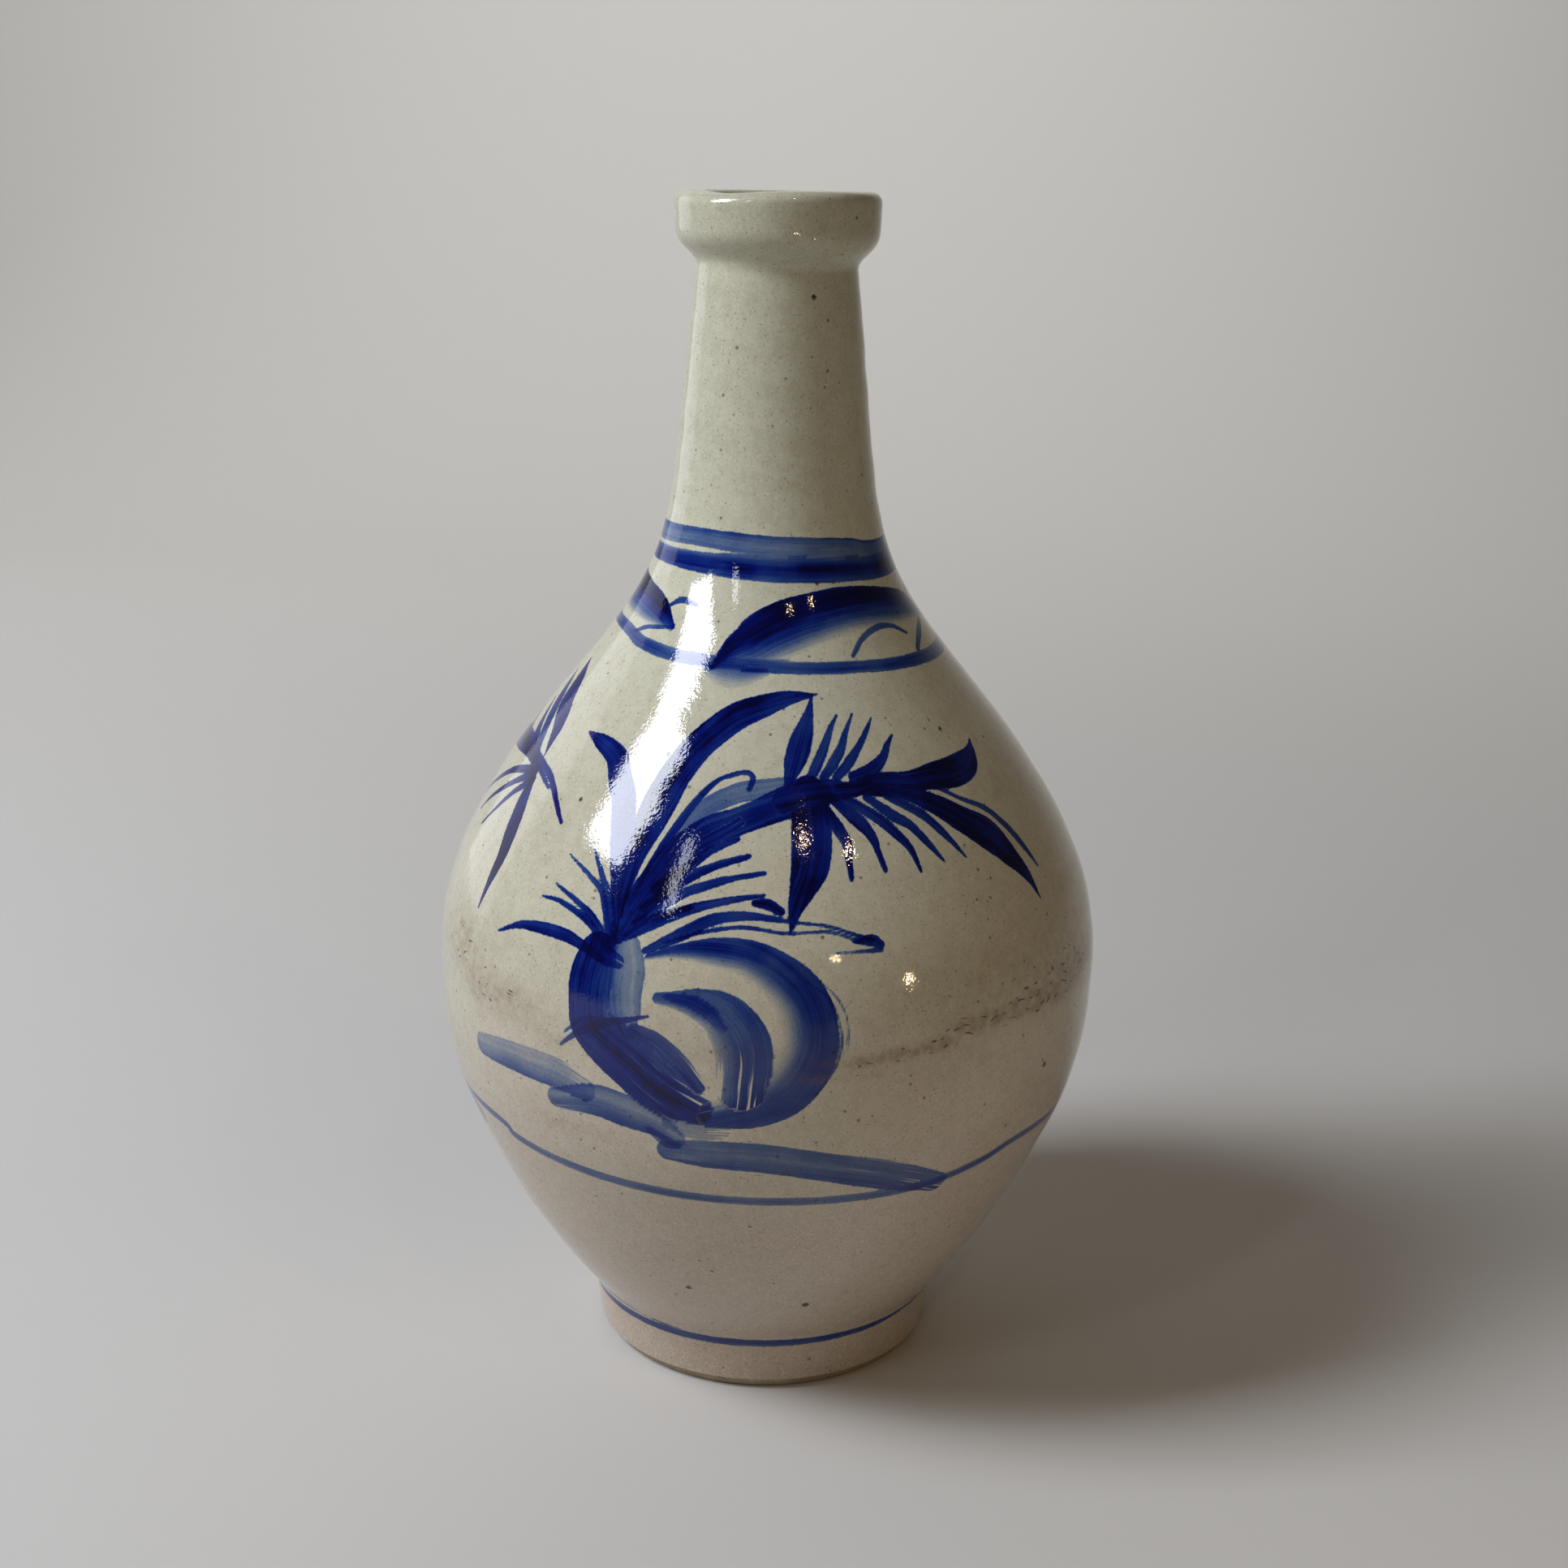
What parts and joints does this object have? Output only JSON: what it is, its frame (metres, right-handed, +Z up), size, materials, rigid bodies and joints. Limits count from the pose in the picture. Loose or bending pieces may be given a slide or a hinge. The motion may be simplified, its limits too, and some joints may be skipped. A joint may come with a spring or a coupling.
{
  "type": "sake bottle",
  "caption": "Wheel-thrown stoneware pouring bottle with a long neck, collared lip and foot ring, glazed inside and out, for storing and serving sake.",
  "frame": {"origin": "centre of the foot ring, on the surface the bottle stands on", "axes": "+Z up along the bottle's turning axis, towards the mouth; -Y towards the viewer of the painted front, +X to the viewer's right"},
  "size_m": [0.1544, 0.1544, 0.27],
  "materials": {
    "stoneware": "bare fired clay, matt, buff with iron specks",
    "glaze": "glossy transparent grey-green ash glaze over cobalt brush painting"
  },
  "bodies": {
    "root": {"foot_ring": "stoneware", "lower_body": "stoneware", "upper_body": "stoneware", "neck": "stoneware", "lip_collar": "stoneware", "glaze_coat": "glaze"}
  },
  "joints": []
}
